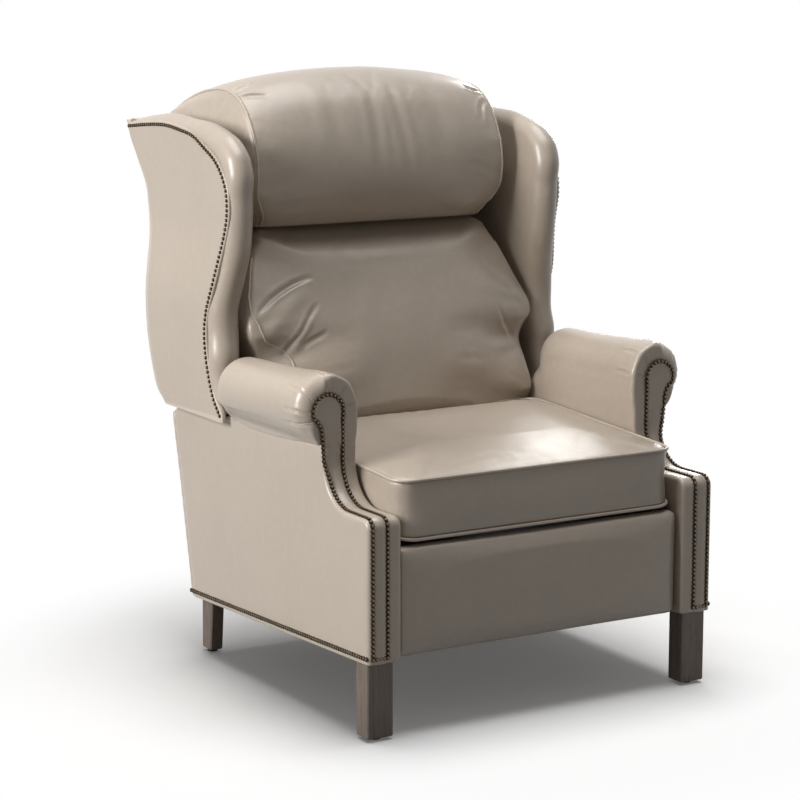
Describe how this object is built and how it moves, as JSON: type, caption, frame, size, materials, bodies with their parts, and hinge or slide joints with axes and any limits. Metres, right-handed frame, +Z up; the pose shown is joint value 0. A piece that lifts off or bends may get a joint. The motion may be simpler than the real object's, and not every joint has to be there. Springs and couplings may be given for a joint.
{
  "type": "wingback push-back recliner",
  "caption": "Wingback recliner in leather with rolled arms, flared wings, a sliding seat, a tilting back and a scissor-link footrest that folds behind the front panel",
  "frame": {"origin": "on the floor, under the middle of the chair's bounding box with the back upright and the footrest folded", "axes": "+Z up, the sitter faces -Y, +X is towards the viewer's right from the front"},
  "size_m": [0.836, 0.958, 1.136],
  "materials": {
    "leather": "top-grain upholstery leather, fine pebbled, soft sheen",
    "leather_pad": "leather over polyester fibre and foam, taken as its light filling",
    "leg_wood": "stained hardwood, satin lacquer",
    "frame_wood": "kiln-dried hardwood and plywood, raw",
    "steel": "zinc-plated strip steel",
    "dark_steel": "blackened steel",
    "lining": "black polypropylene webbing and lining"
  },
  "bodies": {
    "base": {"front_leg_left": "leg_wood", "front_leg_right": "leg_wood", "rear_leg_left": "leg_wood", "rear_leg_right": "leg_wood", "leg_glides": "dark_steel", "arm_core_left": "frame_wood", "arm_core_right": "frame_wood", "outside_arm_left": "leather", "outside_arm_right": "leather", "inside_arm_left": "leather_pad", "inside_arm_right": "leather_pad", "arm_roll_left": "leather_pad", "arm_roll_right": "leather_pad", "arm_facing_left": "leather_pad", "arm_facing_right": "leather_pad", "front_stretcher": "frame_wood", "rear_stretcher": "frame_wood", "corner_blocks": "frame_wood", "base_rear_panel": "leather", "side_plate_left": "steel", "side_plate_right": "steel", "plate_spreader": "steel", "back_pivot_pins": "dark_steel"},
    "seat": {"seat_frame": "frame_wood", "seat_springs": "dark_steel", "spring_clips": "steel", "seat_deck": "lining", "seat_cushion": "leather_pad", "seat_bracket_left": "steel", "seat_bracket_right": "steel", "slide_rollers": "dark_steel", "drive_pins": "dark_steel"},
    "back": {"back_frame": "frame_wood", "back_webbing": "lining", "back_bracket_left": "steel", "back_bracket_right": "steel", "outside_back": "leather", "inside_back": "leather_pad", "wing_panel_left": "leather", "wing_panel_right": "leather", "wing_pad_left": "leather_pad", "wing_pad_right": "leather_pad", "lumbar_cushion": "leather_pad", "headrest_cushion": "leather_pad"},
    "rear_drop": {"rear_drop_links": "steel", "scissor_tie_tube": "dark_steel"},
    "rear_rise": {"rear_rise_links": "steel"},
    "front_drop": {"front_drop_links": "steel"},
    "front_rise": {"front_rise_links": "steel"},
    "stays": {"footrest_stays": "steel"},
    "footrest": {"footrest_bracket_left": "steel", "footrest_bracket_right": "steel", "footrest_board": "frame_wood", "footrest_pad": "leather_pad"}
  },
  "joints": [
    {"name": "back_recline", "type": "hinge", "parent": "base", "child": "back", "pos_m": [0, 0.24018, 0.482], "axis": [-1, 0, 0], "range_deg": [0, 24]},
    {"name": "seat_slide", "type": "slide", "parent": "base", "child": "seat", "axis": [0, -1, 0], "range_m": [0, 0.0466]},
    {"name": "footrest_swing", "type": "hinge", "parent": "seat", "child": "rear_drop", "pos_m": [0, -0.386, 0.322], "axis": [-1, 0, 0], "range_deg": [0, 77]},
    {"name": "rear_cross_pivot", "type": "hinge", "parent": "rear_drop", "child": "rear_rise", "pos_m": [0, -0.39436, 0.24244], "axis": [-1, 0, 0], "range_deg": [-154.1, 0]},
    {"name": "upper_pivot", "type": "hinge", "parent": "rear_rise", "child": "front_drop", "pos_m": [0, -0.40272, 0.322], "axis": [-1, 0, 0], "range_deg": [0, 154.1]},
    {"name": "lower_pivot", "type": "hinge", "parent": "rear_drop", "child": "front_rise", "pos_m": [0, -0.40272, 0.16288], "axis": [-1, 0, 0], "range_deg": [-154.1, 0]},
    {"name": "footrest_pivot", "type": "hinge", "parent": "front_rise", "child": "footrest", "pos_m": [0, -0.41945, 0.322], "axis": [-1, 0, 0], "range_deg": [0, 154.1]},
    {"name": "stay_pivot", "type": "hinge", "parent": "front_drop", "child": "stays", "pos_m": [0, -0.41945, 0.16288], "axis": [-1, 0, 0], "range_deg": [-154.1, 0]}
  ],
  "couplings": [
    {"joint": "seat_slide", "follows": "back_recline", "m_per_rad": 0.1109},
    {"joint": "rear_cross_pivot", "follows": "footrest_swing", "ratio": -2},
    {"joint": "upper_pivot", "follows": "footrest_swing", "ratio": 2},
    {"joint": "lower_pivot", "follows": "footrest_swing", "ratio": -2},
    {"joint": "footrest_pivot", "follows": "footrest_swing", "ratio": 2},
    {"joint": "stay_pivot", "follows": "footrest_swing", "ratio": -2}
  ]
}
